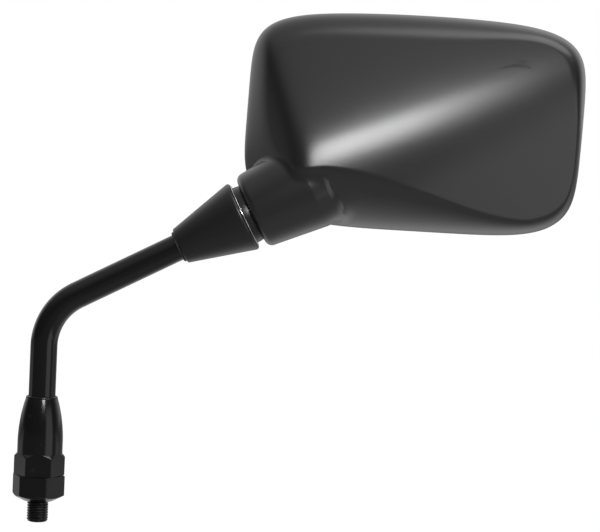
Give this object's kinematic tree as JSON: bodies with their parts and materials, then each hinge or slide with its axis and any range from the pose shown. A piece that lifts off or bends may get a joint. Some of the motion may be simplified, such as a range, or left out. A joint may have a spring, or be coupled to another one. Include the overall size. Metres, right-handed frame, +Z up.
{
  "type": "motorcycle mirror",
  "caption": "Rear-view mirror with a ridged moulded housing on a ball joint, bent steel stem, cone cover, tapered lock nut and threaded stud foot.",
  "frame": {"origin": "centre of the adapter's lower seat face, on the stud axis", "axes": "+Z up the stud axis, +X towards the head, +Y out of the glass towards the rider"},
  "size_m": [0.2633, 0.0441, 0.248],
  "materials": {
    "foot_black": "gloss black coating on turned steel",
    "stem_black": "gloss black paint",
    "moulded_black": "satin moulded plastic",
    "housing_black": "satin moulded plastic, fine grain",
    "ball_black": "satin nylon",
    "zinc": "bright zinc plate",
    "spring_steel": "drawn wire",
    "nylon": "natural nylon",
    "rubber": "matt",
    "foam": "adhesive foam",
    "mirror": "silvered glass"
  },
  "bodies": {
    "foot": {"adapter": "foot_black", "cap_nut": "foot_black", "friction_washer": "nylon", "slip_washer": "zinc"},
    "stem": {"stem": "stem_black", "cone_cover": "moulded_black", "seal_ring": "rubber", "seat_cup": "zinc", "pressure_cup": "zinc", "clamp_spring": "spring_steel", "spring_washer": "zinc", "lock_nut": "zinc"},
    "ball": {"ball": "ball_black"},
    "liner": {"liner": "nylon"},
    "head": {"housing": "housing_black", "mirror_glass": "mirror", "glass_gasket": "rubber", "glass_pad": "foam", "backing_plate": "moulded_black", "plate_screws": "zinc"}
  },
  "joints": [
    {"name": "stem_turn", "type": "hinge", "parent": "foot", "child": "stem", "pos_m": [0, 0, 0.03], "axis": [0, 0, 1], "continuous": true},
    {"name": "ball_swivel", "type": "hinge", "parent": "stem", "child": "ball", "pos_m": [0.09271, 0, 0.13959], "axis": [0.8829, 0, 0.4695], "continuous": true},
    {"name": "head_tilt", "type": "hinge", "parent": "ball", "child": "liner", "pos_m": [0.09271, 0, 0.13959], "axis": [0, 1, 0], "range_deg": [-9, 9]},
    {"name": "head_turn", "type": "hinge", "parent": "liner", "child": "head", "pos_m": [0.09271, 0, 0.13959], "axis": [-0.4695, 0, 0.8829], "range_deg": [-9, 9]}
  ]
}
